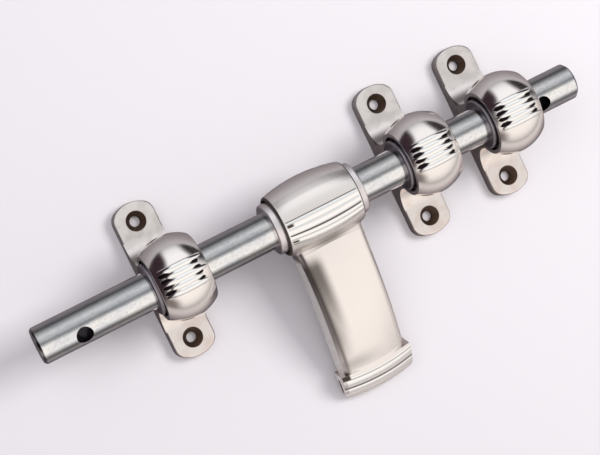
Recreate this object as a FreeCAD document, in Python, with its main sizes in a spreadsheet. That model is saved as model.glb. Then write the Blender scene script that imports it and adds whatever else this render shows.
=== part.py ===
import FreeCAD, Part
import math
import os
import Sketcher

# Sliding door bolt: a round bolt slides and turns in three cast ball brackets and is worked by a
# cast handle. X runs along the bolt towards the keeper, Y across the door, Z out from the door.
# The origin is the middle of the left bracket's back face. Lengths are in mm, angles in degrees.

SIZES = [
    ("rod_length", 254, "bolt rod, end to end"),
    ("rod_diameter", 16, "bolt rod"),
    ("rod_chamfer", 1.0, "bevel on both ends of the rod"),
    ("rod_tail", 61, "rod's left end beyond the left bracket's screws"),
    ("tail_hole_inset", 18.5, "padlock hole from the rod's left end"),
    ("nose_hole_inset", 18.3, "padlock hole from the rod's right end"),
    ("lock_hole_diameter", 7.2, "padlock holes through the rod"),
    ("lock_hole_turn", 11.5, "padlock holes turned from the handle's face"),
    ("axis_height", 27.5, "rod axis above the door"),
    ("tip_lift", 0.1, "handle tip above the door when it hangs down"),
    ("middle_bracket_station", 117, "middle bracket's screws from the left bracket's"),
    ("keeper_bracket_station", 158, "keeper bracket's screws from the left bracket's"),
    ("handle_station", 65, "middle of the handle from the left bracket's screws"),
    ("lug_width", 18.5, "bracket plate along the rod"),
    ("lug_thickness", 5.5, "bracket plate"),
    ("lug_reach", 8.2, "plate end beyond a screw hole's centre"),
    ("lug_end_radius", 13, "flattened curve of a plate end"),
    ("lug_corner_radius", 5.5, "corners of a plate end"),
    ("lug_edge_radius", 0.9, "rounded top edge of the plate"),
    ("screw_spacing", 54, "the two screw holes of a bracket"),
    ("screw_hole_diameter", 4.6, "screw holes"),
    ("countersink_diameter", 8.8, "mouth of a screw hole"),
    ("countersink_depth", 3.2, "cone of a screw hole"),
    ("neck_foot_reach", 20.5, "where the plate begins to sweep up into the neck"),
    ("neck_sweep_radius", 10, "hollow curve between plate and neck"),
    ("ball_diameter", 36, "bracket ball"),
    ("ball_length", 22, "bracket ball between its flat ends"),
    ("ball_rim_radius", 1.2, "rounded rim of the ball's flat ends"),
    ("end_dish_diameter", 25.2, "sunk ring in each end of a ball"),
    ("end_dish_depth", 1.6, "depth of that ring"),
    ("flute_pitch", 2.45, "from one flute of a ball to the next"),
    ("flute_round_radius", 1.65, "cross curve of a flute"),
    ("flute_rise", 0.6, "crest of a flute above the ball"),
    ("long_flute_arc_radius", 15.9, "lengthwise curve of the long flutes' crests"),
    ("short_flute_arc_radius", 13.6, "lengthwise curve of the short flutes' crests"),
    ("flute_half_sweep", 40, "half angle of a flute's lengthwise curve"),
    ("running_clearance", 0.05, "radial play of rod and bushes"),
    ("bush_wall", 1.6, "bush between rod and bore"),
    ("bush_sleeve_length", 8, "bush inside its bore"),
    ("bush_flange_diameter", 22.4, "collar ring of a bush"),
    ("bush_flange_thickness", 3.2, "collar ring of a bush along the rod, tail side"),
    ("nose_flange_thickness", 1.8, "collar ring of a bush along the rod, nose side"),
    ("bush_lip_radius", 0.8, "rounded lip of a collar ring"),
    ("bush_end_float", 0.1, "play between a bush's collar and its seat"),
    ("seat_clearance", 0.02, "radial play of pieces fixed in the handle"),
    ("barrel_length", 35.4, "handle barrel along the rod"),
    ("barrel_diameter", 31.2, "handle barrel at its middle"),
    ("barrel_end_diameter", 26.4, "handle barrel at its ends"),
    ("barrel_rim_radius", 0.8, "rounded rim of the barrel's ends"),
    ("barrel_dish_diameter", 24.2, "sunk ring in each end of the barrel"),
    ("barrel_dish_depth", 1.2, "depth of that ring"),
    ("collar_flange_thickness", 4.4, "collar ring of the handle along the rod"),
    ("rib_line_turn", 4.7, "line between the two pairs of ribs from the handle's face"),
    ("rib_line_gap", 0.6, "angle left free on each side of that line"),
    ("upper_rib_pitch", 12, "angle between the two upper ribs"),
    ("lower_rib_pitch", 8.6, "angle between the two lower ribs"),
    ("upper_rib_radius", 3, "cross curve of an upper rib"),
    ("lower_rib_radius", 1.8, "cross curve of a lower rib"),
    ("rib_rise", 0.45, "crest of a rib above the barrel"),
    ("rib_end_inset", 1.0, "rib ends from the barrel's ends"),
    ("grip_root", 4, "start of the grip, inside the barrel, from the rod axis"),
    ("grip_set_in", 2.8, "grip's sides from the barrel's ends"),
    ("grip_root_flare", 1.4, "extra half-width of the grip at its root"),
    ("grip_draft", 0.4, "extra half-width along the grip's back edges"),
    ("grip_root_height", 8.6, "grip face above the rod axis at its root"),
    ("grip_end_height", 10.3, "grip face above the rod axis at its end"),
    ("grip_face_bow", 5, "bow of the grip's face along its length"),
    ("grip_back_bow", 1.8, "bow of the grip's back edges along their length"),
    ("grip_crown_radius", 42, "crown across the grip's face"),
    ("grip_corner_radius", 4.2, "rounded long edges of the grip's face"),
    ("grip_wall", 2.5, "wall of the hollow grip"),
    ("saddle_radius", 1.5, "hollow curve from the barrel into the grip"),
    ("tip_reach", 86.2, "handle tip from the rod axis"),
    ("tip_length", 12.7, "ribbed tip beyond the grip's bowed face"),
    ("tip_overhang", 1.9, "tip's sides beyond the grip's"),
    ("tip_slope", 15, "fall of the ribbed tip from the grip's length"),
    ("tip_end_radius", 92, "bulge of the tip's end"),
    ("tip_corner_radius", 3.4, "corners of the tip's end"),
    ("tip_crown_radius", 62, "crown across the ribbed tip"),
    ("tip_block_height", 14, "cast height of the tip before its crown"),
    ("small_rib_width", 1.5, "first rib across the tip"),
    ("small_rib_radius", 1.0, "cross curve of the first rib"),
    ("wide_rib_width", 4.7, "second rib across the tip"),
    ("wide_rib_radius", 6, "cross curve of the second rib"),
    ("last_rib_width", 3.4, "third rib across the tip"),
    ("last_rib_radius", 3.4, "cross curve of the third rib"),
    ("tip_step", 0.5, "fall from one rib of the tip to the next"),
    ("tip_lip_drop", 5, "fall of the rounded lip below the third rib"),
    ("tip_lip_radius", 5, "rounded lip below the third rib"),
    ("tip_crown_sweep", 60, "angle swept by the tip's crown"),
    ("tip_wall", 3, "walls round the tip's hollow"),
    ("tip_hollow_height", 3.9, "roof of the tip's hollow above the rod axis"),
    ("tip_slot_inset", 7.6, "slots in the tip's sides from its end"),
    ("tip_slot_height", 2.4, "slots in the tip's sides, their height and middle"),
    ("tip_slot_length", 6.8, "slots in the tip's sides"),
    ("grub_screw_diameter", 6, "screw that holds the handle on the rod"),
    ("grub_screw_length", 7, "screw that holds the handle on the rod"),
    ("grub_point_depth", 0.5, "seat of the screw's point in the rod"),
    ("grub_point_bevel", 0.9, "bevel of the screw's point"),
    ("grub_socket_width", 3, "hexagon socket of the screw, across its flats"),
    ("grub_socket_depth", 3, "hexagon socket of the screw"),
]

# Each length below is worked out from the sizes above.
ROD_R = "sizes.rod_diameter / 2"
BUSH_BORE_R = f"({ROD_R} + sizes.running_clearance)"
BUSH_SLEEVE_R = f"({BUSH_BORE_R} + sizes.bush_wall)"
FLANGE_R = "sizes.bush_flange_diameter / 2"
BRACKET_BORE_R = f"({BUSH_SLEEVE_R} + sizes.running_clearance)"
BALL_R = "sizes.ball_diameter / 2"
BALL_SHIFT = "(sizes.ball_length / 2 - sizes.lug_width / 2)"
BALL_END_R = f"sqrt(({BALL_R})^2 - (sizes.ball_length / 2)^2)"
BARREL_R = "sizes.barrel_diameter / 2"
BARREL_END_R = "sizes.barrel_end_diameter / 2"
BARREL_DROP = f"({BARREL_R} - {BARREL_END_R})"
BARREL_ARC_R = f"((sizes.barrel_length^2 / 4 + {BARREL_DROP}^2) / (2 * {BARREL_DROP}))"
GRIP_END = "(sizes.tip_reach - sizes.tip_length)"
GRIP_HALF = "(sizes.barrel_length / 2 - sizes.grip_set_in)"
TIP_HALF = f"({GRIP_HALF} + sizes.tip_overhang)"
HANDLE_TURN = "asin((sizes.axis_height - sizes.tip_lift) / sizes.tip_reach)"

# Two places closer than this are the same place.
SAME_PLACE = 0.01

doc = FreeCAD.newDocument("SlidingDoorBolt")
sheet = doc.addObject("Spreadsheet::Sheet", "sizes")
for row, (alias, size, note) in enumerate(SIZES, start=1):
    sheet.set(f"A{row}", note)
    sheet.set(f"B{row}", str(size))
    sheet.setAlias(f"B{row}", alias)
doc.recompute()


def number(expression):
    return float(sheet.evalExpression(expression))


def new_body(label):
    body = doc.addObject("PartDesign::Body", label)
    body.Label = label
    return body


def place(body, x, z="sizes.axis_height", turn="0", flip=False):
    """Put a body's own origin on the rod axis, turned about it or turned end for end."""
    axis = FreeCAD.Vector(0, 0, 1) if flip else FreeCAD.Vector(1, 0, 0)
    body.Placement = FreeCAD.Placement(FreeCAD.Vector(0, 0, 0), FreeCAD.Rotation(axis, 1))
    body.setExpression("Placement.Base.x", x)
    body.setExpression("Placement.Base.z", z)
    body.setExpression("Placement.Rotation.Angle", "180" if flip else turn)


def origin_feature(body, role):
    return next(item for item in body.Origin.OriginFeatures if item.Role == role)


def new_sketch(body, name, plane, x="0", y="0", off="0", turn="0"):
    """A sketch on one of the body's own planes, moved in or off the plane and turned in it."""
    sketch = body.newObject("Sketcher::SketchObject", name)
    sketch.AttachmentSupport = [(origin_feature(body, plane), "")]
    sketch.MapMode = "FlatFace"
    spin = FreeCAD.Rotation(FreeCAD.Vector(0, 0, 1), 1)
    sketch.AttachmentOffset = FreeCAD.Placement(FreeCAD.Vector(0, 0, 0), spin)
    sketch.setExpression(".AttachmentOffset.Base.x", x)
    sketch.setExpression(".AttachmentOffset.Base.y", y)
    sketch.setExpression(".AttachmentOffset.Base.z", off)
    sketch.setExpression(".AttachmentOffset.Rotation.Angle", turn)
    return sketch


def drive(sketch, kind, *where, size):
    """A dimension of the sketch that follows the sheet."""
    index = sketch.addConstraint(Sketcher.Constraint(kind, *where, number(size)))
    sketch.setExpression(f"Constraints[{index}]", size)


def pin_point(sketch, shape, end, x, y):
    for kind, size, axis in (("DistanceX", x, -2), ("DistanceY", y, -1)):
        if size == "0":
            sketch.addConstraint(Sketcher.Constraint("PointOnObject", shape, end, axis))
        else:
            drive(sketch, kind, -1, 1, shape, end, size=size)


def add_circle(sketch, radius, x="0", y="0"):
    centre = FreeCAD.Vector(number(x), number(y), 0)
    circle = Part.Circle(centre, FreeCAD.Vector(0, 0, 1), number(radius))
    shape = sketch.addGeometry(circle, False)
    drive(sketch, "Radius", shape, size=radius)
    pin_point(sketch, shape, 3, x, y)
    return shape


def arc_between(start, finish, radius, side):
    """The shorter arc from start to finish, its centre to the left (side 1) or right (side -1)."""
    half = (finish - start) * 0.5
    across = FreeCAD.Vector(-half.y, half.x, 0).normalize()
    centre = start + half + across * (side * math.sqrt(radius ** 2 - half.Length ** 2))
    first, last = (start, finish) if side > 0 else (finish, start)
    begin = math.atan2(first.y - centre.y, first.x - centre.x)
    stop = math.atan2(last.y - centre.y, last.x - centre.x)
    if stop < begin:
        stop += 2 * math.pi
    circle = Part.Circle(centre, FreeCAD.Vector(0, 0, 1), radius)
    return Part.ArcOfCircle(circle, begin, stop)


def add_outline(sketch, corners, arcs=None):
    """A closed outline through corners. arcs gives, by corner number, the radius and side of the
    arc that runs from that corner to the next."""
    points = [FreeCAD.Vector(number(x), number(y), 0) for x, y in corners]
    runs = []
    for index, start in enumerate(points):
        finish = points[(index + 1) % len(points)]
        if arcs and index in arcs:
            radius, side = arcs[index]
            shape = sketch.addGeometry(arc_between(start, finish, number(radius), side), False)
            drive(sketch, "Radius", shape, size=radius)
            runs.append((shape, 1, 2) if side > 0 else (shape, 2, 1))
        else:
            shape = sketch.addGeometry(Part.LineSegment(start, finish), False)
            runs.append((shape, 1, 2))
    for index, (shape, begin, _) in enumerate(runs):
        before = runs[index - 1]
        sketch.addConstraint(Sketcher.Constraint("Coincident", before[0], before[2], shape, begin))
        pin_point(sketch, shape, begin, *corners[index])


def corner_in_arc(half, crest, crown, bend):
    """Where an arc of radius bend touches a side at half and a crown arc that peaks at crest.
    Gives the height where the side ends and the point where the crown begins."""
    lean = f"(({half} - {bend}) / ({crown} - {bend}))"
    rise = f"sqrt(1 - {lean}^2)"
    side_end = f"({crest} - {crown} + ({crown} - {bend}) * {rise})"
    return side_end, f"({crown} * {lean})", f"({crest} - {crown} + {crown} * {rise})"


def feature(body, kind, name, profile, **settings):
    made = body.newObject(f"PartDesign::{kind}", name)
    made.Profile = profile
    for setting, value in settings.items():
        if isinstance(value, str) and setting in ("Length", "Angle"):
            made.setExpression(setting, value)
        else:
            setattr(made, setting, value)
    doc.recompute()
    return made


def revolve(body, name, sketch, kind="Revolution", axis="H_Axis", angle=None):
    made = feature(body, kind, name, sketch, ReferenceAxis=(sketch, [axis]))
    if angle:
        made.Midplane = True
        made.setExpression("Angle", angle)
        doc.recompute()
    return made


def cut_through(body, name, sketch):
    """A pocket right through the body, both ways from its sketch."""
    before = body.Shape.Volume
    feature(body, "Pocket", name, sketch, Type="ThroughAll", Midplane=True)
    if body.Shape.Volume >= before:
        raise RuntimeError(f"{name} removed nothing")


def cut_depth(body, name, sketch, depth, reverse=False):
    before = body.Shape.Volume
    feature(body, "Pocket", name, sketch, Length=depth, Reversed=reverse)
    if body.Shape.Volume >= before:
        raise RuntimeError(f"{name} removed nothing")


def round_edges(body, name, radius, wanted, kind="Fillet"):
    """Round or bevel the edges of the body's last feature that the test picks."""
    base = body.Tip
    edges = [f"Edge{n}" for n, edge in enumerate(base.Shape.Edges, start=1) if wanted(edge)]
    made = body.newObject(f"PartDesign::{kind}", name)
    made.Base = (base, edges)
    made.setExpression("Radius" if kind == "Fillet" else "Size", radius)
    doc.recompute()
    return made


def is_ring(edge, radius, x=None):
    """True for a full circle round the X axis of the given radius, at x if given."""
    curve = edge.Curve
    if not isinstance(curve, Part.Circle) or abs(curve.Radius - radius) > SAME_PLACE:
        return False
    on_axis = abs(abs(curve.Axis.x) - 1) < SAME_PLACE
    return on_axis and (x is None or abs(curve.Center.x - x) < SAME_PLACE)


def lengthwise_rib(body, name, centre, turn, radius, arc_radius, half_sweep, middle="0"):
    """A round rib along the X axis. Its crest follows an arc about the centre given in Y and Z."""
    sketch = new_sketch(
        body, f"{name}_section", "YZ_Plane", x=centre[0], y=centre[1], off=middle, turn=turn)
    add_circle(sketch, radius, "0", f"{arc_radius} - {radius}")
    revolve(body, name, sketch, angle=f"2 * ({half_sweep})")


def build_rod():
    body = new_body("bolt_rod")
    section = new_sketch(body, "rod_section", "YZ_Plane")
    add_circle(section, ROD_R)
    feature(body, "Pad", "rod_bar", section, Length="sizes.rod_length")
    round_edges(
        body, "rod_bevels", "sizes.rod_chamfer",
        lambda edge: is_ring(edge, number(ROD_R)), kind="Chamfer",
    )
    add_lock_hole(body, "tail_hole", "sizes.tail_hole_inset")
    add_lock_hole(body, "nose_hole", "sizes.rod_length - sizes.nose_hole_inset")
    seat = new_sketch(body, "screw_seat_sketch", "XY_Plane", off=f"-({ROD_R})")
    add_circle(
        seat, "sizes.grub_screw_diameter / 2 + sizes.running_clearance",
        "sizes.rod_tail + sizes.handle_station", "0",
    )
    cut_depth(body, "screw_seat", seat, "sizes.grub_point_depth", reverse=True)
    place(body, "-sizes.rod_tail", turn=HANDLE_TURN)
    return body


def add_lock_hole(body, name, station):
    """A padlock hole across the rod, turned about the rod axis from the handle's face."""
    sketch = new_sketch(body, f"{name}_sketch", "XY_Plane")
    add_circle(sketch, "sizes.lock_hole_diameter / 2", station, "0")
    sketch.AttachmentOffset = FreeCAD.Placement(
        FreeCAD.Vector(0, 0, 0), FreeCAD.Rotation(FreeCAD.Vector(1, 0, 0), 1))
    sketch.setExpression(".AttachmentOffset.Rotation.Angle", "sizes.lock_hole_turn")
    cut_through(body, name, sketch)


def build_bracket(label, station):
    """One cast bracket: a plate with two screw lugs, a swept neck and a fluted ball.
    Its own origin is the point of the rod axis over the middle of its screws."""
    body = new_body(label)
    door = "-sizes.axis_height"
    add_plate(body, door)
    add_neck(body, door)
    add_ball(body)
    add_flutes(body)
    bore = new_sketch(body, "bore_sketch", "YZ_Plane")
    add_circle(bore, BRACKET_BORE_R)
    cut_through(body, "rod_bore", bore)
    for side in ("-", "+"):
        end = f"{BALL_SHIFT} {side} sizes.ball_length / 2"
        dish = new_sketch(body, "end_dish_sketch", "YZ_Plane", off=end)
        add_circle(dish, "sizes.end_dish_diameter / 2")
        cut_depth(body, "end_dish", dish, "sizes.end_dish_depth", reverse=side == "-")
    add_screw_holes(body, door)
    place(body, station)
    return body


def add_plate(body, door):
    """The plate: two parallel flanks, and ends with a flat curve between round corners."""
    half = "sizes.lug_width / 2"
    end = "(sizes.screw_spacing / 2 + sizes.lug_reach)"
    bend = "sizes.lug_corner_radius"
    corner_y, touch_x, touch_y = corner_in_arc(half, end, "sizes.lug_end_radius", bend)
    sketch = new_sketch(body, "plate_outline", "XY_Plane", off=door)
    add_outline(sketch, [
        (half, f"-({corner_y})"), (half, corner_y),
        (touch_x, touch_y), (f"-({touch_x})", touch_y),
        (f"-({half})", corner_y), (f"-({half})", f"-({corner_y})"),
        (f"-({touch_x})", f"-({touch_y})"), (touch_x, f"-({touch_y})"),
    ], arcs={
        1: (bend, 1), 2: ("sizes.lug_end_radius", 1), 3: (bend, 1),
        5: (bend, 1), 6: ("sizes.lug_end_radius", 1), 7: (bend, 1),
    })
    feature(body, "Pad", "plate", sketch, Length="sizes.lug_thickness")
    top = number(f"{door} + sizes.lug_thickness")
    round_edges(
        body, "plate_edge", "sizes.lug_edge_radius",
        lambda edge: all(abs(vertex.Z - top) < SAME_PLACE for vertex in edge.Vertexes),
    )


def add_neck(body, door):
    """The neck: as wide as the plate, swept up from it in two hollow curves to the rod axis."""
    plate_top = f"({door} + sizes.lug_thickness)"
    foot = "sizes.neck_foot_reach"
    waist = "(sizes.neck_foot_reach - sizes.neck_sweep_radius)"
    waist_z = f"({plate_top} + sizes.neck_sweep_radius)"
    sketch = new_sketch(body, "neck_profile", "YZ_Plane")
    add_outline(sketch, [
        (f"-({foot})", door), (foot, door), (foot, plate_top), (waist, waist_z),
        (waist, "0"), (f"-({waist})", "0"), (f"-({waist})", waist_z), (f"-({foot})", plate_top),
    ], arcs={2: ("sizes.neck_sweep_radius", -1), 6: ("sizes.neck_sweep_radius", -1)})
    feature(body, "Pad", "neck", sketch, Length="sizes.lug_width", Midplane=True)


def add_ball(body):
    """The ball: a sphere with flat ends, its left end flush with the bracket's left flank."""
    half = "sizes.ball_length / 2"
    sketch = new_sketch(body, "ball_profile", "XZ_Plane", x=BALL_SHIFT)
    add_outline(sketch, [
        (f"-({half})", "0"), (half, "0"), (half, BALL_END_R), (f"-({half})", BALL_END_R),
    ], arcs={2: (BALL_R, 1)})
    revolve(body, "ball", sketch)
    rim = number(BALL_END_R)
    right = number(f"{BALL_SHIFT} + {half}")
    round_edges(body, "ball_rim", "sizes.ball_rim_radius", lambda edge: is_ring(edge, rim, right))


def add_flutes(body):
    """A band of parallel flutes over the ball's crest: three long ones with two short ones
    between."""
    radius = "sizes.flute_round_radius"
    for name, arc, places in (
        ("long_flute", "sizes.long_flute_arc_radius", (-2, 0, 2)),
        ("short_flute", "sizes.short_flute_arc_radius", (-1, 1)),
    ):
        for count in places:
            across = f"({count} * sizes.flute_pitch)"
            fall = f"({BALL_R} - sqrt(({BALL_R})^2 - {across}^2))"
            arc_radius = f"({arc} - {fall})"
            crest = f"(sqrt(({BALL_R} + sizes.flute_rise - {radius})^2 - {across}^2) + {radius})"
            lengthwise_rib(
                body, name, (across, f"{crest} - {arc_radius}"), "0", radius, arc_radius,
                "sizes.flute_half_sweep", middle=BALL_SHIFT,
            )


def add_screw_holes(body, door):
    hole_y = "sizes.screw_spacing / 2"
    holes = new_sketch(body, "screw_holes_sketch", "XY_Plane", off=door)
    add_circle(holes, "sizes.screw_hole_diameter / 2", "0", hole_y)
    add_circle(holes, "sizes.screw_hole_diameter / 2", "0", f"-({hole_y})")
    cut_depth(body, "screw_holes", holes, "sizes.lug_thickness", reverse=True)
    top = f"({door} + sizes.lug_thickness)"
    mouth = "sizes.countersink_diameter / 2"
    inner = "sizes.screw_hole_diameter / 2"
    for side in ("", "-"):
        centre = f"{side}({hole_y})"
        cone = new_sketch(body, "countersink_sketch", "YZ_Plane", x=centre)
        add_outline(cone, [
            ("0", f"{top} - sizes.countersink_depth"),
            (inner, f"{top} - sizes.countersink_depth"), (mouth, top), ("0", top),
        ])
        revolve(body, "countersink", cone, kind="Groove", axis="V_Axis")


def build_bush(label, station, right_end, flange="sizes.bush_flange_thickness",
               outer=BUSH_SLEEVE_R, bore=BUSH_BORE_R):
    """A flanged liner. Its own origin is the back of its flange, with the sleeve along X."""
    body = new_body(label)
    sketch = new_sketch(body, "bush_profile", "XZ_Plane")
    add_outline(sketch, [
        (f"-({flange})", bore), ("sizes.bush_sleeve_length", bore),
        ("sizes.bush_sleeve_length", outer), ("0", outer), ("0", FLANGE_R),
        (f"-({flange})", FLANGE_R),
    ])
    revolve(body, "bush", sketch)
    face = -number(flange)
    round_edges(
        body, "bush_lip", "sizes.bush_lip_radius",
        lambda edge: is_ring(edge, number(FLANGE_R), face),
    )
    place(body, station, flip=right_end)
    return body


def grip_section(body, name, share, wall="0", foot_drop="0"):
    """One cross-section of the grip: straight sides, round corners and a crowned face. share runs
    from 0 at the grip's root to 1 at its end. A wall makes the section of the hollow inside."""
    station = f"(sizes.grip_root + {share} * ({GRIP_END} - sizes.grip_root))"
    swell = f"4 * {share} * (1 - {share})"
    face = (f"(sizes.grip_root_height + {share} * (sizes.grip_end_height - sizes.grip_root_height)"
            f" + sizes.grip_face_bow * {swell} - {wall})")
    foot = f"(sizes.grip_back_bow * {swell} - {foot_drop})"
    half = f"({GRIP_HALF} + sizes.grip_root_flare * (1 - {share})^6 - {wall})"
    foot_half = f"({half} + sizes.grip_draft)"
    crown = f"(sizes.grip_crown_radius - {wall})"
    bend = f"(sizes.grip_corner_radius - {wall} / 2)"
    side_end, touch_x, touch_z = corner_in_arc(half, face, crown, bend)
    sketch = new_sketch(body, name, "XZ_Plane", off=station)
    add_outline(sketch, [
        (f"-({foot_half})", foot), (foot_half, foot), (half, side_end), (touch_x, touch_z),
        (f"-({touch_x})", touch_z), (f"-({half})", side_end),
    ], arcs={2: (bend, 1), 3: (crown, 1), 4: (bend, 1)})
    return sketch


def loft(body, name, kind, sections):
    made = body.newObject(f"PartDesign::{kind}", name)
    made.Profile = sections[0]
    made.Sections = sections[1:]
    doc.recompute()
    return made


def build_handle():
    """The cast handle. Its own origin is the middle of the barrel on the rod axis, with the grip
    along -Y and its face towards +Z."""
    body = new_body("handle")
    add_barrel(body)
    add_grip(body)
    add_barrel_ribs(body)
    add_tip(body)
    hollow_grip(body)
    add_barrel_openings(body)
    place(body, "sizes.handle_station", turn=HANDLE_TURN)
    return body


def add_barrel(body):
    half = "sizes.barrel_length / 2"
    sketch = new_sketch(body, "barrel_profile", "XZ_Plane")
    add_outline(sketch, [
        (f"-({half})", "0"), (half, "0"), (half, BARREL_END_R), (f"-({half})", BARREL_END_R),
    ], arcs={2: (BARREL_ARC_R, 1)})
    revolve(body, "barrel", sketch)
    rim = number(BARREL_END_R)
    round_edges(body, "barrel_rim", "sizes.barrel_rim_radius", lambda edge: is_ring(edge, rim))


def add_barrel_ribs(body):
    """Two pairs of ribs over the barrel's crest, a broad pair above and a narrow pair below."""
    crest = f"({BARREL_R} + sizes.rib_rise)"
    arc_radius = f"({BARREL_ARC_R} + sizes.rib_rise)"
    half_sweep = f"asin((sizes.barrel_length / 2 - sizes.rib_end_inset) / {arc_radius})"
    for name, pitch, radius, near in (
        ("upper", "sizes.upper_rib_pitch", "sizes.upper_rib_radius", "-"),
        ("lower", "sizes.lower_rib_pitch", "sizes.lower_rib_radius", "+"),
    ):
        nearest = f"(sizes.rib_line_turn {near} ({pitch} / 2 + sizes.rib_line_gap))"
        for turn in (nearest, f"({nearest} {near} {pitch})"):
            centre = (f"({arc_radius} - {crest}) * sin({turn})",
                      f"({crest} - {arc_radius}) * cos({turn})")
            lengthwise_rib(body, f"{name}_rib", centre, turn, radius, arc_radius, half_sweep)


# Where the grip's cross-sections stand, from its root to its end.
GRIP_SHARES = ("0", "0.18", "0.32", "0.5", "0.68", "0.86", "1")
HOLLOW_SHARES = ("0.18", "0.32", "0.5", "0.68", "0.86", "1")


def add_grip(body):
    sections = [grip_section(body, f"grip_section_{n}", share)
                for n, share in enumerate(GRIP_SHARES)]
    loft(body, "grip", "AdditiveLoft", sections)
    barrel = number(BARREL_R)
    saddle = number("sizes.saddle_radius")
    round_edges(
        body, "saddle", "sizes.saddle_radius",
        lambda edge: 0 < -edge.CenterOfMass.y < barrel and edge.CenterOfMass.z > saddle,
    )


def add_tip(body):
    """The tip: a wider cast end with a bulged edge, crowned across three ribs that follow the
    slope of the grip's end, and a rounded lip below them."""
    half = TIP_HALF
    bend = "sizes.tip_corner_radius"
    inner = f"({GRIP_END} - sizes.small_rib_width)"
    corner_y, touch_x, touch_y = corner_in_arc(half, "sizes.tip_reach", "sizes.tip_end_radius", bend)
    plan = new_sketch(body, "tip_plan", "XY_Plane")
    add_outline(plan, [
        (f"-({half})", f"-({inner})"), (f"-({half})", f"-({corner_y})"),
        (f"-({touch_x})", f"-({touch_y})"), (touch_x, f"-({touch_y})"),
        (half, f"-({corner_y})"), (half, f"-({inner})"),
    ], arcs={1: (bend, 1), 2: ("sizes.tip_end_radius", 1), 3: (bend, 1)})
    feature(body, "Pad", "tip_block", plan, Length="sizes.tip_block_height")
    crown_tip(body)


def crown_tip(body):
    """Cut the ribbed crown by turning its profile about a line along the sloping tip."""
    crown = "sizes.tip_crown_radius"
    slope = "sizes.tip_slope"
    sketch = new_sketch(
        body, "tip_ribs", "YZ_Plane", x=f"-{GRIP_END} + {crown} * sin({slope})",
        y=f"sizes.grip_end_height - {crown} * cos({slope})", turn=slope,
    )
    before = "-2 * sizes.small_rib_width"
    second = "sizes.small_rib_width"
    third = f"({second} + sizes.wide_rib_width)"
    lip = f"({third} + sizes.last_rib_width)"
    end = f"({lip} + sizes.tip_lip_radius)"
    clear = f"({crown} + sizes.tip_block_height)"

    def at(along, height):
        return (f"-({along})", height)

    add_outline(sketch, [
        at(before, clear), at(before, f"{crown} - sizes.tip_step"), at("0", crown),
        at(second, crown), at(third, f"{crown} - sizes.tip_step"),
        at(lip, f"{crown} - 2 * sizes.tip_step"),
        at(end, f"{crown} - 2 * sizes.tip_step - sizes.tip_lip_drop"), at(end, clear),
    ], arcs={2: ("sizes.small_rib_radius", 1), 3: ("sizes.wide_rib_radius", 1),
             4: ("sizes.last_rib_radius", 1), 5: ("sizes.tip_lip_radius", 1)})
    revolve(body, "tip_crown", sketch, kind="Groove", angle="sizes.tip_crown_sweep")


def hollow_grip(body):
    sections = [grip_section(body, f"hollow_section_{n}", share, "sizes.grip_wall",
                             "sizes.grip_wall")
                for n, share in enumerate(HOLLOW_SHARES)]
    loft(body, "grip_hollow", "SubtractiveLoft", sections)
    half = f"({TIP_HALF} - sizes.tip_wall)"
    plan = new_sketch(body, "tip_hollow_plan", "XY_Plane")
    near = f"-{GRIP_END} + sizes.tip_wall"
    far = "-sizes.tip_reach + sizes.tip_wall"
    add_outline(plan, [(f"-({half})", far), (half, far), (half, near), (f"-({half})", near)])
    cut_depth(body, "tip_hollow", plan, "sizes.tip_hollow_height", reverse=True)
    slot = new_sketch(body, "tip_slot_sketch", "YZ_Plane")
    middle = "-sizes.tip_reach + sizes.tip_slot_inset"
    reach = "(sizes.tip_slot_length - sizes.tip_slot_height) / 2"
    low = "sizes.tip_slot_height / 2"
    high = "3 * sizes.tip_slot_height / 2"
    add_outline(slot, [
        (f"{middle} - {reach}", low), (f"{middle} + {reach}", low),
        (f"{middle} + {reach}", high), (f"{middle} - {reach}", high),
    ], arcs={1: (low, 1), 3: (low, 1)})
    cut_through(body, "tip_slot", slot)


def add_barrel_openings(body):
    bore = new_sketch(body, "bore_sketch", "YZ_Plane")
    add_circle(bore, f"{ROD_R} + sizes.seat_clearance")
    cut_through(body, "rod_bore", bore)
    for side in ("-", "+"):
        end = f"{side} sizes.barrel_length / 2"
        dish = new_sketch(body, "dish_sketch", "YZ_Plane", off=end)
        add_circle(dish, "sizes.barrel_dish_diameter / 2")
        cut_depth(body, "end_dish", dish, "sizes.barrel_dish_depth", reverse=side == "-")
        seat = new_sketch(body, "collar_seat_sketch", "YZ_Plane", off=end)
        add_circle(seat, f"{BUSH_SLEEVE_R} + sizes.seat_clearance")
        cut_depth(
            body, "collar_seat", seat,
            "sizes.barrel_dish_depth + sizes.bush_sleeve_length + sizes.bush_end_float",
            reverse=side == "-",
        )
    hole = new_sketch(body, "screw_hole_sketch", "XY_Plane", off=f"-({BARREL_R})")
    add_circle(hole, "sizes.grub_screw_diameter / 2 + sizes.seat_clearance")
    cut_depth(body, "screw_hole", hole, BARREL_R, reverse=True)


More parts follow.
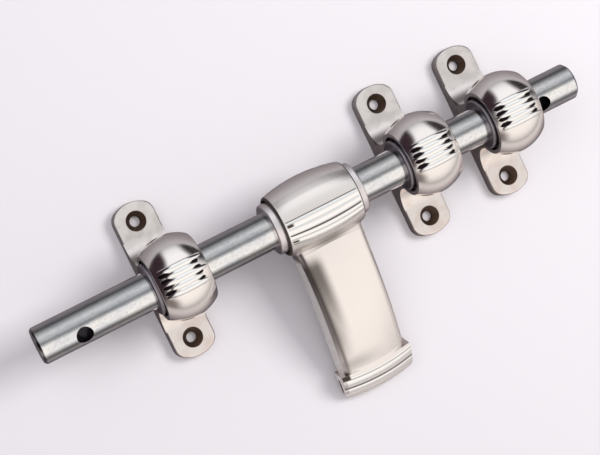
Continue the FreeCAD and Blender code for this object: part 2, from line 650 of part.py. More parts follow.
def build_grub_screw():
    """The screw that locks the handle. Its own origin is on the rod axis, its point up."""
    body = new_body("handle_grub_screw")
    outer = "sizes.grub_screw_diameter / 2"
    point = f"-({ROD_R} - sizes.grub_point_depth)"
    end = f"({point} - sizes.grub_screw_length)"
    sketch = new_sketch(body, "screw_section", "XY_Plane", off=end)
    add_circle(sketch, outer)
    feature(body, "Pad", "screw", sketch, Length="sizes.grub_screw_length")
    top = number(point)
    round_edges(
        body, "screw_point", "sizes.grub_point_bevel",
        lambda edge: abs(edge.CenterOfMass.z - top) < SAME_PLACE, kind="Chamfer",
    )
    socket = new_sketch(body, "socket_sketch", "XY_Plane", off=end)
    corner = "(sizes.grub_socket_width / sqrt(3))"
    add_outline(socket, [
        (f"{corner} * cos({angle})", f"{corner} * sin({angle})") for angle in range(30, 390, 60)
    ])
    cut_depth(body, "socket", socket, "sizes.grub_socket_depth", reverse=True)
    place(body, "sizes.handle_station", turn=HANDLE_TURN)
    return body


def build_bushes(name, station):
    """The two bushes of a bracket, their flanges on the floors of its end dishes."""
    seat = "(sizes.ball_length / 2 - sizes.end_dish_depth + sizes.bush_end_float)"
    return [
        build_bush(f"{name}_bush_a", f"{station} + {BALL_SHIFT} - {seat}", False),
        build_bush(f"{name}_bush_b", f"{station} + {BALL_SHIFT} + {seat}", True,
                   flange="sizes.nose_flange_thickness"),
    ]


def build_collars():
    """The two collar rings of the handle, pressed into the ends of its barrel."""
    seat = "(sizes.barrel_length / 2 - sizes.barrel_dish_depth)"
    rings = (("handle_collar_a", "-", False), ("handle_collar_b", "+", True))
    return [
        build_bush(label, f"sizes.handle_station {side} {seat}", right_end,
                   flange="sizes.collar_flange_thickness", bore=f"({ROD_R} + sizes.seat_clearance)")
        for label, side, right_end in rings
    ]


parts = [build_rod(), build_handle(), build_grub_screw()] + build_collars()
for bracket, station in (
    ("left_bracket", "0"),
    ("middle_bracket", "sizes.middle_bracket_station"),
    ("keeper_bracket", "sizes.keeper_bracket_station"),
):
    parts.append(build_bracket(bracket, station))
    parts.extend(build_bushes(bracket, station))
doc.recompute()

for item in doc.Objects:
    if "Invalid" in item.State or "Error" in item.State:
        raise RuntimeError(f"{item.Label} failed: {item.State}")
for part in parts:
    if part.Shape.isNull() or not part.Shape.isValid():
        raise RuntimeError(f"{part.Label} has no valid shape")

os.makedirs("parts", exist_ok=True)
for part in parts:
    part.Shape.exportStep(f"parts/{part.Label}.step")
    print(part.Label, "solids", len(part.Shape.Solids), "volume", round(part.Shape.Volume, 1))
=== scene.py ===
import math
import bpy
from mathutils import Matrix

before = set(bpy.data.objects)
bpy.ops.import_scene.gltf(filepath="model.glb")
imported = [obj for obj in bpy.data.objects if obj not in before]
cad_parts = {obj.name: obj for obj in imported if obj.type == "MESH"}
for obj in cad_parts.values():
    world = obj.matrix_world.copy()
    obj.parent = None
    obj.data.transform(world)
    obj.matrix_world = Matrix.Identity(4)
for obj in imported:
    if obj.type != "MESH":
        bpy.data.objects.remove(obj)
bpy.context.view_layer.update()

from types import SimpleNamespace

import bpy
from mathutils import Vector

MM = 0.001

# Places on the object, in metres. The rod runs along X, and the door's face is at Z = 0.
ROD_HEIGHT = 27.5 * MM
BRACKETS = {"left_bracket": 0.0, "middle_bracket": 117 * MM, "keeper_bracket": 158 * MM}
BALL_SHIFT = 1.75 * MM
BALL_RADIUS = 18 * MM
FLUTE_PITCH = 2.45 * MM
SCREW_HOLE_Y = 27 * MM
HANDLE_X = 65 * MM
HANDLE_TURN = math.radians(18.53)
TIP_TOP = (0, -73.5 * MM, 10.3 * MM)
TIP_SLOPE = math.radians(15)


def grey(level, tint=(1, 1, 1)):
    """A grey of this level, or a tint brought down to it."""
    return tuple(level * share for share in tint)


class Graph:
    """Short calls that build one tree of shader nodes. A value given to them is a plain number,
    vector or colour, or the socket of another node."""

    def __init__(self, tree):
        self.tree = tree
        tree.nodes.clear()

    def node(self, kind, inputs=None, **settings):
        """A new node with these settings, and with its inputs fed."""
        made = self.tree.nodes.new("ShaderNode" + kind)
        for name, value in settings.items():
            setattr(made, name, value)
        for key, value in (inputs or {}).items():
            self.feed(made.inputs[key], value)
        return made

    def feed(self, socket, value):
        """Link the socket to another one, or set a plain value on it."""
        if isinstance(value, bpy.types.NodeSocket):
            self.tree.links.new(value, socket)
        else:
            socket.default_value = value

    def math(self, operation, *values):
        return self.node("Math", dict(enumerate(values)), operation=operation).outputs[0]

    def chain(self, operation, values):
        """Join all values by one operation, from the first to the last."""
        result = values[0]
        for value in values[1:]:
            result = self.math(operation, result, value)
        return result

    def multiply(self, *values):
        return self.chain("MULTIPLY", values)

    def largest(self, *values):
        return self.chain("MAXIMUM", values)

    def vector(self, operation, *values):
        made = self.node("VectorMath", dict(enumerate(values)), operation=operation)
        return made.outputs["Value" if operation in ("LENGTH", "DOT_PRODUCT") else "Vector"]

    def split(self, vector):
        return self.node("SeparateXYZ", {"Vector": vector}).outputs

    def distance(self, **parts):
        """The length of the vector with these parts, X, Y or Z."""
        return self.vector("LENGTH", self.node("CombineXYZ", parts).outputs[0])

    def noise(self, place, scale, detail, stretch=None):
        """Noise from 0 to 1. A stretch under 1 draws it out along that axis."""
        if stretch:
            place = self.vector("MULTIPLY", place, stretch)
        made = self.node("TexNoise", {"Vector": place, "Scale": scale, "Detail": detail})
        return made.outputs["Fac"]

    def step(self, value, empty, full):
        """A mask that goes smoothly from 0 at empty to 1 at full."""
        made = self.node(
            "MapRange", {"Value": value, "From Min": empty, "From Max": full},
            interpolation_type="SMOOTHSTEP")
        return made.outputs["Result"]

    def within(self, value, low, high, soft):
        """A mask of 1 between low and high, with edges that are soft by so much each way."""
        rise = self.step(value, low - soft, low + soft)
        fall = self.step(value, high + soft, high - soft)
        return self.multiply(rise, fall)

    def blend(self, factor, first, second):
        """A number that goes from first to second with the factor."""
        return self.node("Mix", {0: factor, 2: first, 3: second}, data_type="FLOAT").outputs[0]

    def mix(self, factor, first, second, blend_type="MIX"):
        """A colour that goes from first to second with the factor, or to the two multiplied."""
        made = self.node("Mix", {0: factor}, data_type="RGBA", blend_type=blend_type)
        for socket, value in ((made.inputs[6], first), (made.inputs[7], second)):
            self.feed(socket, (*value, 1) if isinstance(value, tuple) else value)
        return made.outputs[2]

    def profile(self, value, stops):
        """The colour that belongs to the value, from stops of (value, colour) in rising order."""
        low, high = stops[0][0], stops[-1][0]
        factor = self.node("MapRange", {"Value": value, "From Min": low, "From Max": high})
        made = self.node("ValToRGB", {"Fac": factor.outputs["Result"]})
        elements = made.color_ramp.elements
        while len(elements) < len(stops):
            elements.new(0.5)
        for element, (position, colour) in zip(elements, stops):
            element.position = (position - low) / (high - low)
            element.color = (*colour, 1)
        return made.outputs["Color"]

    def mix_shaders(self, factor, first, second):
        return self.node("MixShader", {"Fac": factor, 1: first, 2: second}).outputs[0]


def new_material(name):
    """A material, its empty graph, and the place of the shaded point."""
    material = bpy.data.materials.new(name)
    material.use_nodes = True
    graph = Graph(material.node_tree)
    return material, graph, graph.node("TexCoord").outputs["Object"]


def angle_about_rod(graph, y, z):
    """The angle about the rod's axis in degrees, 0 straight up and positive towards -Y."""
    return graph.math("DEGREES", graph.math("ARCTAN2", graph.multiply(y, -1.0), z))


def finish_metal(graph, colour, roughness, height, depth, metallic=1.0):
    """Join colour, roughness and a fine bump to the metal's shader."""
    bump = graph.node("Bump", {"Strength": 1.0, "Distance": depth, "Height": height})
    shader = graph.node("BsdfPrincipled", {
        "Base Color": colour, "Metallic": metallic, "Roughness": roughness,
        "Normal": bump.outputs["Normal"]})
    graph.node("OutputMaterial", {"Surface": shader.outputs["BSDF"]})


SATIN = (0.97, 0.93, 0.905)
SATIN_SHADE = (0.93, 0.88, 0.855)
SATIN_ROUGHNESS_SPREAD = 0.08
POLISHED = (1.0, 0.995, 0.985)
POLISHED_ROUGHNESS = 0.07
DARK_ROUGHNESS = 0.5
GRAIN_DEPTH = 0.012 * MM


def cast_metal(graph, place, polished, dark, shade_and_tone, satin_roughness, metallic=1.0):
    """Satin nickel with a fine grain. The mask polished makes it bright and smooth, and the mask
    dark gives it the colour shade_and_tone: painted shade, and on the brackets' plates a darker
    tone."""
    cloud = graph.noise(place, scale=60.0, detail=4.0)
    grain = graph.noise(place, scale=2600.0, detail=2.0)
    colour = graph.mix(cloud, SATIN, SATIN_SHADE)
    colour = graph.mix(polished, colour, POLISHED)
    colour = graph.mix(dark, colour, shade_and_tone)
    satin = graph.math("MULTIPLY_ADD", cloud, SATIN_ROUGHNESS_SPREAD, satin_roughness)
    roughness = graph.blend(polished, satin, POLISHED_ROUGHNESS)
    roughness = graph.blend(dark, roughness, DARK_ROUGHNESS)
    height = graph.multiply(grain, graph.math("SUBTRACT", 1.0, polished))
    finish_metal(graph, colour, roughness, height, GRAIN_DEPTH, metallic)


# From here on an edge is (where its mask is 0, where it is 1), and a span is (from, to, softness).
# The brackets' ribs, grooves and sunk rings, from the middle of the ball.
RIBS_RAISED_EDGE = (BALL_RADIUS + 0.01 * MM, BALL_RADIUS + 0.06 * MM)
RIBS_FRONT_EDGE = (8 * MM, 10 * MM)
RIBS_SPAN = (-6.3 * MM, 6.3 * MM, 0.1 * MM)
GROOVE_FLOOR_EDGE = (BALL_RADIUS + 0.20 * MM, BALL_RADIUS + 0.10 * MM)
GROOVES_SPAN = (-5 * MM, 5 * MM, 0.6 * MM)
RING_FLOOR_EDGE = (10.6 * MM, 10.2 * MM)
RING_WALL_EDGE = (12.75 * MM, 12.6 * MM)
# How dark the painted shade on the sunk ring floors is.
RING_DARKNESS = 0.9

# The painted shade wedges in the grooves: start, end and half of the greatest width.
TAIL_WEDGE = (5.0 * MM, 10.2 * MM, 0.95 * MM)
NOSE_WEDGE = (4.0 * MM, 8.0 * MM, 0.7 * MM)
WEDGE_OPENING = 0.5
WEDGE_CLOSING = 0.8
WEDGE_SOFTNESS = 0.2 * MM

# The brackets' plate, screw holes and neck, from the door.
PLATE_EDGE = (9 * MM, 6.5 * MM)
BLOTCH_EDGE = (0.42, 0.62)
PLATE_DARKNESS = 0.10
BLOTCH_DARKNESS = 0.30
# The screw holes' walls get painted shade.
HOLE_WALL_EDGE = (4.45 * MM, 4.25 * MM)
HOLE_RIM_EDGE = (5.55 * MM, 5.35 * MM)
# The neck's hollow gets painted shade.
NECK_FOOT_EDGE = (5.6 * MM, 8 * MM)
NECK_HEAD_EDGE = (20 * MM, 16 * MM)
NECK_SPAN = (11 * MM, 19 * MM, 1 * MM)
NECK_DARKNESS = 0.7
BALL_FOOT_EDGE = (13 * MM, 19 * MM)
PLATE_ROUGHNESS = 0.25
BALL_ROUGHNESS = 0.12

# The colours of the dark mask: painted shade on the ball, the plate's darker tone on its lower
# and upper half, and painted shade in the screw holes.
BALL_PAINTED_SHADE = (0.02, 0.012, 0.015)
LOWER_PLATE_TONE = (0.68, 0.45, 0.34)
UPPER_PLATE_TONE = (0.38, 0.345, 0.335)
PLATE_TONE_CHANGE_EDGE = (-5 * MM, 5 * MM)
HOLE_PAINTED_SHADE = (0.30, 0.225, 0.18)


def groove_wedge(graph, out, from_groove, start, end, half_width):
    """A painted shade in each groove that widens from start outwards and closes again before end.
    """
    opening = graph.multiply(graph.math("SUBTRACT", out, start), WEDGE_OPENING)
    closing = graph.multiply(graph.math("SUBTRACT", end, out), WEDGE_CLOSING)
    width = graph.chain("MINIMUM", (opening, closing, half_width))
    return graph.step(graph.math("SUBTRACT", width, from_groove), -WEDGE_SOFTNESS, WEDGE_SOFTNESS)


def painted_groove_shade(graph, x, y, from_centre, ribs):
    """Painted shade in wedges on the floors of the grooves, towards both ends of the ribs."""
    half_pitch = FLUTE_PITCH / 2
    from_groove = graph.math("SUBTRACT", half_pitch, graph.math("PINGPONG", y, half_pitch))
    tail_end = groove_wedge(graph, graph.multiply(x, -1.0), from_groove, *TAIL_WEDGE)
    nose_end = groove_wedge(graph, x, from_groove, *NOSE_WEDGE)
    floor_mask = graph.multiply(graph.step(from_centre, *GROOVE_FLOOR_EDGE),
                                graph.within(y, *GROOVES_SPAN))
    return graph.multiply(floor_mask, ribs, graph.largest(tail_end, nose_end))


def ring_floors(graph, x, y, z):
    """Painted shade on the sunk floors round the bushes, in both ends of the ball."""
    return graph.multiply(graph.step(graph.math("ABSOLUTE", x), *RING_FLOOR_EDGE),
                          graph.step(graph.distance(Y=y, Z=z), *RING_WALL_EDGE))


def screw_hole_walls(graph, x, y, height):
    """Painted shade on the countersinks and holes in both ends of the plate."""
    off_hole = graph.math("SUBTRACT", graph.math("ABSOLUTE", y), SCREW_HOLE_Y)
    return graph.multiply(graph.step(graph.distance(X=x, Y=off_hole), *HOLE_WALL_EDGE),
                          graph.step(height, *HOLE_RIM_EDGE))


def bracket_material(name, station):
    """Satin nickel with polished ribs, painted shade in its hollows and a blotched plate."""
    material, graph, place = new_material(name + "_nickel")
    from_ball = graph.vector("SUBTRACT", place, (station + BALL_SHIFT, 0, ROD_HEIGHT))
    x, y, z = graph.split(from_ball)
    from_centre = graph.vector("LENGTH", from_ball)
    plate_x, _, height = graph.split(graph.vector("SUBTRACT", place, (station, 0, 0)))

    ribs = graph.multiply(graph.within(y, *RIBS_SPAN), graph.step(z, *RIBS_FRONT_EDGE))
    polished = graph.multiply(graph.step(from_centre, *RIBS_RAISED_EDGE), ribs)
    plate = graph.step(height, *PLATE_EDGE)
    blotch = graph.step(graph.noise(place, scale=170.0, detail=4.0), *BLOTCH_EDGE)
    blotches = graph.multiply(plate, graph.blend(blotch, PLATE_DARKNESS, BLOTCH_DARKNESS))
    # Painted shade in the hollow of the neck, on the plate's upper half.
    neck = graph.multiply(graph.step(height, *NECK_FOOT_EDGE),
                          graph.step(height, *NECK_HEAD_EDGE), graph.within(y, *NECK_SPAN))
    hole = screw_hole_walls(graph, plate_x, y, height)
    dark = graph.largest(
        painted_groove_shade(graph, x, y, from_centre, ribs),
        graph.multiply(ring_floors(graph, x, y, z), RING_DARKNESS),
        blotches, graph.multiply(neck, NECK_DARKNESS), hole)

    # The plate's darker tone is warmer on its lower half; the ball and the screw holes get painted
    # shade.
    plate_tone = graph.mix(graph.step(y, *PLATE_TONE_CHANGE_EDGE), LOWER_PLATE_TONE, UPPER_PLATE_TONE)
    shade_and_tone = graph.mix(plate, BALL_PAINTED_SHADE, plate_tone)
    shade_and_tone = graph.mix(hole, shade_and_tone, HOLE_PAINTED_SHADE)
    ball = graph.step(height, *BALL_FOOT_EDGE)
    satin_roughness = graph.blend(ball, PLATE_ROUGHNESS, BALL_ROUGHNESS)
    cast_metal(graph, place, polished, dark, shade_and_tone, satin_roughness)
    return material


# The handle's barrel, with distances from its middle on the rod's axis and angles in degrees.
BARREL_RIBS_ANGLE_SPAN = (-19.4, 22.6, 0.5)
BARREL_RIBS_SPAN = (-16.9 * MM, 16.9 * MM, 0.2 * MM)
BARREL_WALL_EDGE = (12.8 * MM, 13.2 * MM)
BARREL_CROWN_EDGE = (16.6 * MM, 16.4 * MM)
BARREL_SPAN = (-16.6 * MM, 16.6 * MM, 0.4 * MM)
# Painted shade in the bore and on the rims.
BORE_EDGE = (12.3 * MM, 12.15 * MM)
BORE_SPAN = (-17.8 * MM, 17.8 * MM, 0.2 * MM)
BORE_DARKNESS = 0.95
RIM_END_EDGE = (16.9 * MM, 17.3 * MM)
RIM_WALL_EDGE = (14.6 * MM, 14 * MM)
RIM_DARKNESS = 0.92

# Painted shade lines beside the barrel's ribs: the middle, half the width and the darkness of
# each.
BARREL_LINES = [(-20.4, 0.9, 0.85), (-7.9, 0.4, 0.15), (4.7, 1.1, 1.0), (13.9, 0.5, 0.2),
                (23.4, 0.9, 0.5)]
LINE_SOFTNESS = 0.7
# Painted shade at the ribs' tail ends, and in a band above and below the ribs.
TAIL_END_SHADE_ANGLE_SPANS = [(-15.5, -10, 1.2), (15, 18.5, 1.2)]
TAIL_END_SHADE_EDGE = (-13.2 * MM, -14.6 * MM)
UPPER_BAND_ANGLE_SPAN = (-64, -50, 3)
UPPER_BAND_DARKNESS = 0.22
LOWER_BAND_ANGLE_SPAN = (30, 75, 7)
LOWER_BAND_MIDDLE_SPAN = (-7 * MM, 5 * MM, 5 * MM)
LOWER_BAND_DARKNESS = (0.12, 0.6)

# The handle's grip, with the way that a face looks as 0 sideways and 1 outwards.
GRIP_FOOT_EDGE = (-70 * MM, -50 * MM)
GRIP_HEAD_EDGE = (-13 * MM, -20 * MM)
GRIP_FACE_EDGE = (0.05, 0.35)
# Painted shade bands down the grip's tail side, at its head and across its foot.
TAIL_BAND_EDGE = (-6.5 * MM, -14 * MM)
TAIL_BAND_LOWER_EDGE = (-20 * MM, -50 * MM)
TAIL_BAND_DARKNESS = (0.8, 0.6)
HEAD_BAND_EDGE = (-5.8 * MM, -10.5 * MM)
HEAD_BAND_UPPER_EDGE = (-66 * MM, -22 * MM)
HEAD_BAND_DARKNESS = 0.85
FOOT_BAND_SPAN = (-69.5 * MM, -64.5 * MM, 3 * MM)
FOOT_BAND_FACE_EDGE = (0.3, 0.6)
FOOT_BAND_EDGE = (7 * MM, -9 * MM)
FOOT_BAND_DARKNESS = 0.34
FLANK_FACE_EDGE = (0.93, 0.99)
FLANK_EDGE = (-15 * MM, -18 * MM)
FLANK_METALLIC = 0.3

# The handle's tip, with distances along its slope from its upper edge.
TIP_ALONG = (0, -math.cos(TIP_SLOPE), -math.sin(TIP_SLOPE))
TIP_OUTWARD = (0, -0.26, 0.97)
TIP_LENGTH = 9.6 * MM
TIP_RIBS_SPAN = (0.0, TIP_LENGTH, 0.1 * MM)
TIP_RIBS_FACE_EDGE = (0.45, 0.6)
TIP_FRONT_EDGE = (2 * MM, 4 * MM)
# Painted shade in the grooves between the tip's ribs, at its corner and along its side.
TIP_GROOVE_FACE_EDGE = (0.3, 0.5)
FIRST_GROOVE_SPAN = (1.2 * MM, 1.8 * MM, 0.3 * MM)
FIRST_GROOVE_DARKNESS = 0.5
SECOND_GROOVE_SPAN = (5.9 * MM, 6.6 * MM, 0.3 * MM)
CORNER_SPAN = (-1.2 * MM, 1.6 * MM, 0.4 * MM)
CORNER_EDGE = (-12.8 * MM, -13.8 * MM)
TIP_SIDE_EDGE = (-14.8 * MM, -15.6 * MM)
TIP_SIDE_SPAN = (0.0, TIP_LENGTH, 0.3 * MM)
TIP_SIDE_DARKNESS = 0.35

# The colour of all painted shade on the handle.
HANDLE_PAINTED_SHADE = (0.10, 0.08, 0.07)
HANDLE_ROUGHNESS = 0.22


def handle_measures(graph, place):
    """Where the shaded point lies on the handle and which way it faces, in the handle's frame."""
    def turned(vector):
        return graph.node("VectorRotate", {"Vector": vector, "Angle": -HANDLE_TURN},
                          rotation_type="X_AXIS").outputs["Vector"]

    local = turned(graph.vector("SUBTRACT", place, (HANDLE_X, 0, ROD_HEIGHT)))
    facing = turned(graph.node("TexCoord").outputs["Normal"])
    x, y, z = graph.split(local)
    facing_x, _, facing_z = graph.split(facing)
    return SimpleNamespace(
        x=x, y=y, z=z, facing_x=facing_x, facing_z=facing_z,
        from_axis=graph.distance(Y=y, Z=z), angle=angle_about_rod(graph, y, z),
        along=graph.vector("DOT_PRODUCT", graph.vector("SUBTRACT", local, TIP_TOP), TIP_ALONG),
        outward=graph.vector("DOT_PRODUCT", facing, TIP_OUTWARD))


def barrel_ribs(graph, at):
    """The two pairs of ribs over the barrel."""
    return graph.multiply(graph.within(at.angle, *BARREL_RIBS_ANGLE_SPAN),
                          graph.within(at.x, *BARREL_RIBS_SPAN),
                          graph.step(at.from_axis, *BARREL_WALL_EDGE))


def barrel_painted_shade(graph, at):
    """Painted shade in lines beside the ribs, at their tail ends, and in a band on either side."""
    lines = [graph.multiply(graph.within(at.angle, middle - half, middle + half, LINE_SOFTNESS),
                            darkness)
             for middle, half, darkness in BARREL_LINES]
    tail_end_shade = graph.largest(*[graph.within(at.angle, *span) for span in TAIL_END_SHADE_ANGLE_SPANS])
    tail_end_shade = graph.multiply(tail_end_shade, graph.step(at.x, *TAIL_END_SHADE_EDGE))
    upper = graph.multiply(graph.within(at.angle, *UPPER_BAND_ANGLE_SPAN), UPPER_BAND_DARKNESS)
    middle = graph.within(at.x, *LOWER_BAND_MIDDLE_SPAN)
    lower = graph.multiply(graph.within(at.angle, *LOWER_BAND_ANGLE_SPAN),
                           graph.blend(middle, *LOWER_BAND_DARKNESS))
    skin = graph.multiply(graph.step(at.from_axis, *BARREL_WALL_EDGE),
                          graph.within(at.x, *BARREL_SPAN),
                          graph.step(at.from_axis, *BARREL_CROWN_EDGE))
    return graph.multiply(graph.largest(lower, upper, *lines, tail_end_shade), skin)


def barrel_hollows(graph, at):
    """Painted shade in the bore with the screw's hole, and on the rims at both ends."""
    bore = graph.multiply(graph.step(at.from_axis, *BORE_EDGE), graph.within(at.x, *BORE_SPAN),
                          BORE_DARKNESS)
    rims = graph.multiply(graph.step(graph.math("ABSOLUTE", at.x), *RIM_END_EDGE),
                          graph.step(at.from_axis, *RIM_WALL_EDGE), RIM_DARKNESS)
    return graph.largest(bore, rims)


def grip_painted_shade(graph, at):
    """Painted shade bands down the grip's tail side, widest at its head, and across its foot."""
    face = graph.multiply(graph.step(at.y, *GRIP_FOOT_EDGE), graph.step(at.y, *GRIP_HEAD_EDGE),
                          graph.step(at.facing_z, *GRIP_FACE_EDGE))
    lower = graph.step(at.y, *TAIL_BAND_LOWER_EDGE)
    tail = graph.multiply(graph.step(at.x, *TAIL_BAND_EDGE), face,
                          graph.blend(lower, *TAIL_BAND_DARKNESS))
    head = graph.multiply(graph.step(at.x, *HEAD_BAND_EDGE), face,
                          graph.step(at.y, *HEAD_BAND_UPPER_EDGE), HEAD_BAND_DARKNESS)
    foot = graph.multiply(graph.within(at.y, *FOOT_BAND_SPAN),
                          graph.step(at.facing_z, *FOOT_BAND_FACE_EDGE),
                          graph.step(at.x, *FOOT_BAND_EDGE), FOOT_BAND_DARKNESS)
    return graph.largest(tail, head, foot)


def tip_ribs(graph, at):
    """The three ribs over the tip."""
    return graph.multiply(graph.within(at.along, *TIP_RIBS_SPAN),
                          graph.step(at.outward, *TIP_RIBS_FACE_EDGE),
                          graph.step(at.z, *TIP_FRONT_EDGE))


def tip_corner(graph, at):
    """The tip's upper corner and its edge, on the tail side, which get painted shade."""
    corner = graph.multiply(graph.within(at.along, *CORNER_SPAN), graph.step(at.x, *CORNER_EDGE))
    side = graph.multiply(graph.step(at.x, *TIP_SIDE_EDGE),
                          graph.within(at.along, *TIP_SIDE_SPAN), TIP_SIDE_DARKNESS)
    return graph.largest(corner, side)


def tip_painted_shade(graph, at, corner):
    """Painted shade in lines between the ribs of the tip, and on its corner."""
    first = graph.multiply(graph.within(at.along, *FIRST_GROOVE_SPAN), FIRST_GROOVE_DARKNESS)
    second = graph.within(at.along, *SECOND_GROOVE_SPAN)
    return graph.multiply(graph.largest(first, second, corner),
                          graph.step(at.outward, *TIP_GROOVE_FACE_EDGE),
                          graph.step(at.z, *TIP_FRONT_EDGE))


def handle_material():
    """Satin nickel with polished ribs, painted shade in its hollows, beside the ribs and along the
    grip's tail side, and a grip that is as cast on its flanks."""
    material, graph, place = new_material("handle_nickel")
    at = handle_measures(graph, place)
    corner = tip_corner(graph, at)
    polished = graph.multiply(graph.largest(barrel_ribs(graph, at), tip_ribs(graph, at)),
                              graph.math("SUBTRACT", 1.0, corner))
    dark = graph.largest(barrel_hollows(graph, at), grip_painted_shade(graph, at),
                         barrel_painted_shade(graph, at), tip_painted_shade(graph, at, corner))
    flank = graph.multiply(graph.step(graph.math("ABSOLUTE", at.facing_x), *FLANK_FACE_EDGE),
                           graph.step(at.y, *FLANK_EDGE))
    cast_metal(graph, place, polished, dark, HANDLE_PAINTED_SHADE, HANDLE_ROUGHNESS,
               graph.blend(flank, 1.0, FLANK_METALLIC))
    return material


ROD_BLUISH = (0.84, 0.86, 0.90)
ROD_PALE = (0.97, 0.965, 0.96)
ROD_BLOTCH_EDGE = (0.35, 0.65)
ROD_WORN = (0.5, 0.52, 0.56)
WORN_EDGE = (0.48, 0.64)
WORN_SHARE = 0.26
ROD_DARK = (0.1, 0.1, 0.11)
ROD_ROUGHNESS = 0.13
ROD_ROUGHNESS_SPREAD = 0.08
CROSS_HOLE_EDGE = (7.9 * MM, 7.5 * MM)
CROSS_HOLE_SPAN = (-60 * MM, 192 * MM, 0.1 * MM)
TAIL_BEVEL_SPAN = (-60.8 * MM, -60.2 * MM, 0.15 * MM)
BEVEL_DARKNESS = 0.8
STREAK_SHARE = 0.6
ROD_BUMP_DEPTH = 0.009 * MM
PAINTED_BANDS_WANDER = 4.0

# Painted reflection bands: the angle about the rod in degrees, and how bright the bar is there.
PAINTED_REFLECTION_BANDS = [
    (-84, 0.95), (-70, 0.75), (-60, 0.6), (-51, 0.26), (-46, 0.14), (-41, 0.24), (-35, 0.34),
    (-28, 0.5), (-21, 0.66), (-13, 0.64), (-8, 0.54), (-4, 0.33), (-0.5, 0.42), (3, 0.67),
    (7, 0.93), (12, 0.95), (30, 0.95), (36, 0.64), (42, 0.35), (47, 0.22), (52, 0.3),
    (58, 0.68), (72, 0.85), (96, 0.95)]


def rod_material():
    """Zinc-plated steel with specks and blotches, painted shade in its cross holes, and painted
    reflections in bands along it.
    """
    material, graph, place = new_material("rod_zinc")
    blotch = graph.noise(place, scale=160.0, detail=5.0, stretch=(0.6, 1, 1))
    streak = graph.noise(place, scale=1400.0, detail=2.0, stretch=(0.02, 1, 1))
    speck = graph.noise(place, scale=1000.0, detail=4.0, stretch=(0.6, 1, 1))
    along = graph.noise(place, scale=35.0, detail=2.0, stretch=(1, 0, 0))
    x, y, z = graph.split(graph.vector("SUBTRACT", place, (0, 0, ROD_HEIGHT)))

    colour = graph.mix(graph.step(blotch, *ROD_BLOTCH_EDGE), ROD_BLUISH, ROD_PALE)
    worn = graph.multiply(graph.step(speck, *WORN_EDGE), WORN_SHARE)
    colour = graph.mix(worn, colour, ROD_WORN)
    # Painted shade in the cross holes, and a darker tail bevel.
    holes = graph.multiply(graph.step(graph.distance(Y=y, Z=z), *CROSS_HOLE_EDGE),
                           graph.within(x, *CROSS_HOLE_SPAN))
    bevel = graph.multiply(graph.within(x, *TAIL_BEVEL_SPAN), BEVEL_DARKNESS)
    colour = graph.mix(graph.largest(holes, bevel), colour, ROD_DARK)
    # The painted bands wander a little along the bar.
    angle = graph.math("MULTIPLY_ADD", along, PAINTED_BANDS_WANDER, angle_about_rod(graph, y, z))
    # Painted reflection and shade in bands about the rod, multiplied into its colour.
    painted_reflection = graph.profile(angle, [(turn, grey(level)) for turn, level in PAINTED_REFLECTION_BANDS])
    colour = graph.mix(1.0, colour, painted_reflection, "MULTIPLY")

    roughness = graph.math("MULTIPLY_ADD", blotch, ROD_ROUGHNESS_SPREAD, ROD_ROUGHNESS)
    height = graph.math("MULTIPLY_ADD", streak, STREAK_SHARE, speck)
    finish_metal(graph, colour, roughness, height, ROD_BUMP_DEPTH)
    return material


RING_ROUGHNESS = 0.25
SCREW_ROUGHNESS = 0.3
SMALL_PIECE_ROUGHNESS_SPREAD = 0.15
SMALL_PIECE_BUMP_DEPTH = 0.01 * MM


def ring_material(name, light, shade):
    """Grained metal between two tones, for the bushes and the collars."""
    material, graph, place = new_material(name)
    cloud = graph.noise(place, scale=150.0, detail=3.0)
    grain = graph.noise(place, scale=1800.0, detail=2.0)
    roughness = graph.math("MULTIPLY_ADD", cloud, SMALL_PIECE_ROUGHNESS_SPREAD, RING_ROUGHNESS)
    colour = graph.mix(cloud, light, shade)
    finish_metal(graph, colour, roughness, grain, SMALL_PIECE_BUMP_DEPTH)
    return material


def screw_material():
    """Dark steel, for the grub screw."""
    material, graph, place = new_material("screw_steel")
    cloud = graph.noise(place, scale=300.0, detail=3.0)
    roughness = graph.math("MULTIPLY_ADD", cloud, SMALL_PIECE_ROUGHNESS_SPREAD, SCREW_ROUGHNESS)
    colour = graph.mix(cloud, (0.10, 0.10, 0.11), (0.2, 0.2, 0.21))
    finish_metal(graph, colour, roughness, cloud, SMALL_PIECE_BUMP_DEPTH)
    return material


def paint(name, material):
    """Give the piece this material in each of its slots."""
    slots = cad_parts[name].data.materials
    if not slots:
        slots.append(material)
    for index in range(len(slots)):
        slots[index] = material


for bracket, station in BRACKETS.items():
    paint(bracket, bracket_material(bracket, station))
bushes = ring_material("bush_nickel", light=(0.40, 0.37, 0.41), shade=(0.24, 0.22, 0.25))
collars = ring_material("collar_nickel", light=(0.92, 0.87, 0.88), shade=(0.74, 0.70, 0.72))
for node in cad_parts:
    if "bush" in node:
        paint(node, bushes)
    elif "collar" in node:
        paint(node, collars)
paint("bolt_rod", rod_material())
paint("handle", handle_material())
paint("handle_grub_screw", screw_material())


# What the metal mirrors of the floor, by Y: a painted shadow, darkest under the bolt and
# lighter away from it.
MIRRORED_FLOOR = [
    (-0.5, (0.62, 0.585, 0.57)), (-0.10, (0.60, 0.56, 0.545)), (-0.055, (0.50, 0.46, 0.45)),
    (-0.03, (0.36, 0.32, 0.315)), (0.0, (0.15, 0.13, 0.14)), (0.035, (0.18, 0.155, 0.165)),
    (0.07, (0.25, 0.225, 0.235)), (0.15, (0.37, 0.35, 0.36)), (0.5, (0.52, 0.51, 0.52))]


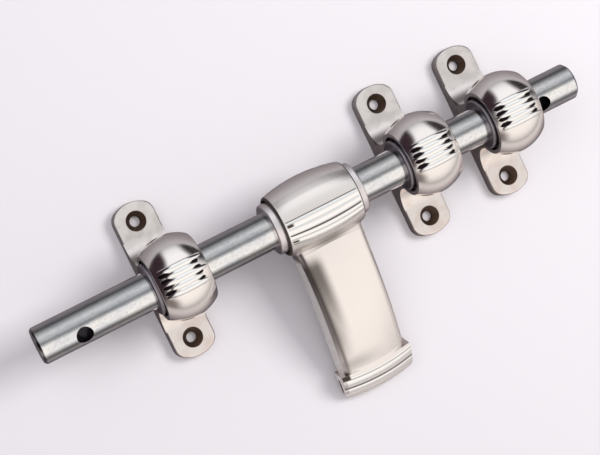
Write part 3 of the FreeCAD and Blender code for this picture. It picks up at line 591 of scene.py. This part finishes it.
def floor_material():
    """Pale to the eye, and darker where the metal mirrors it."""
    material, graph, place = new_material("floor_pale")
    cloud = graph.noise(place, scale=3.0, detail=2.0)
    pale = graph.mix(cloud, (0.83, 0.80, 0.83), (0.80, 0.77, 0.80))
    seen = graph.node("BsdfDiffuse", {"Color": pale})
    below = graph.profile(graph.split(place)[1], MIRRORED_FLOOR)
    mirrored = graph.node("BsdfDiffuse", {"Color": below})
    glossy = graph.node("LightPath").outputs["Is Glossy Ray"]
    surface = graph.mix_shaders(glossy, seen.outputs[0], mirrored.outputs[0])
    graph.node("OutputMaterial", {"Surface": surface})
    return material


# The floor lies a hair below the brackets' backs.
bpy.ops.mesh.primitive_plane_add(size=4, location=(0.06, -0.03, -0.1 * MM))
floor = bpy.context.object
floor.name = "floor"
floor.data.materials.append(floor_material())


WARM = (1.0, 0.95, 0.905)
COOL = (0.98, 0.985, 1.0)

# Strips that run along the bolt, by the angle about it in degrees.
STRIPS = [
    (-180, grey(0.9, COOL)), (-42, grey(1.0, COOL)), (-30, grey(0.84, COOL)),
    (-20, grey(0.79, COOL)), (-12, grey(0.77)), (4, grey(0.77)), (10, grey(0.93, WARM)),
    (16, grey(1.0, WARM)), (180, grey(1.0, WARM))]

# Their brightness by height, from -1 straight down to 1 overhead: dark at the horizon.
SKY = [(-1.0, 0.5), (-0.05, 0.5), (0.0, 0.53), (0.08, 0.62), (0.2, 0.8), (0.34, 0.93),
       (0.5, 1.0), (0.8, 1.0), (1.0, 0.96)]

# Dark places on them: the direction, the edge as a cosine to it, the edge in height if there is
# one, and the colour. The first two are towards the rod's tail, and the third towards its nose.
DARK_PLACES = [
    ((-0.95, -0.31, 0), (0.5, 0.8), (0.6, 0.3), (0.20, 0.165, 0.155)),
    ((-0.93, 0.37, 0), (0.44, 0.62), (0.82, 0.6), (0.03, 0.015, 0.021)),
    ((0.84, 0.53, 0), (0.80, 0.93), None, (0.03, 0.025, 0.025))]

SOFT_LIGHT = (0.92, 0.91, 0.93, 1)
SOFT_STRENGTH = 0.5
BACKDROP = (0.86, 0.84, 0.87, 1)


def mirrored_studio(graph):
    """The bright and dark surroundings that the metal mirrors."""
    direction = graph.node("TexCoord").outputs["Generated"]
    _, y, z = graph.split(direction)
    strips = graph.profile(angle_about_rod(graph, y, z), STRIPS)
    sky = graph.profile(z, [(height, grey(level)) for height, level in SKY])
    colour = graph.mix(1.0, strips, sky, "MULTIPLY")
    for towards, edge, height_edge, shade in DARK_PLACES:
        mask = graph.step(graph.vector("DOT_PRODUCT", direction, towards), *edge)
        if height_edge:
            mask = graph.multiply(mask, graph.step(z, *height_edge))
        colour = graph.mix(mask, colour, shade)
    return colour


def build_world():
    """Pale to the eye, soft on the floor, and a studio where the metal mirrors it."""
    world = bpy.data.worlds.new("studio")
    bpy.context.scene.world = world
    world.use_nodes = True
    graph = Graph(world.node_tree)
    paths = graph.node("LightPath").outputs
    soft = graph.node("Background", {"Color": SOFT_LIGHT, "Strength": SOFT_STRENGTH})
    seen = graph.node("Background", {"Color": BACKDROP, "Strength": 1.0})
    studio = graph.node("Background", {"Color": mirrored_studio(graph), "Strength": 1.0})
    surface = graph.mix_shaders(paths["Is Camera Ray"], soft.outputs[0], seen.outputs[0])
    surface = graph.mix_shaders(paths["Is Glossy Ray"], surface, studio.outputs[0])
    graph.node("OutputWorld", {"Surface": surface})


build_world()

LAMPS_AIM = Vector((0.06, -0.02, 0))


def add_holder(name, data, location):
    """An object that holds a lamp or camera, in the scene."""
    holder = bpy.data.objects.new(name, data)
    bpy.context.collection.objects.link(holder)
    holder.location = location
    return holder


def add_lamp(name, location, width, power, colour):
    """A square lamp that looks at the bolt and isn't seen or mirrored itself."""
    lamp = bpy.data.lights.new(name, "AREA")
    lamp.shape = "SQUARE"
    lamp.size = width
    lamp.energy = power
    lamp.color = colour
    holder = add_holder(name, lamp, location)
    aim = LAMPS_AIM - Vector(location)
    holder.rotation_euler = aim.to_track_quat("-Z", "Y").to_euler()
    holder.visible_glossy = False
    holder.visible_camera = False


add_lamp("key_lamp", location=(0.6, 0.05, 0.8), width=0.45, power=5.4,
         colour=(1.0, 0.985, 0.97))
add_lamp("fill_lamp", location=(-0.3, 0.3, 1.0), width=1.0, power=3.6,
         colour=(0.96, 0.97, 1.0))

camera = bpy.data.cameras.new("camera")
camera.sensor_width = 36
camera.lens = 95.866
camera_holder = add_holder("camera", camera, (-0.1032, 0.04133, 0.66536))
camera_turn = (2.6451, -14.3741, -26.5733)
camera_holder.rotation_euler = [math.radians(angle) for angle in camera_turn]
bpy.context.scene.camera = camera_holder
bpy.context.scene.view_settings.view_transform = "Standard"
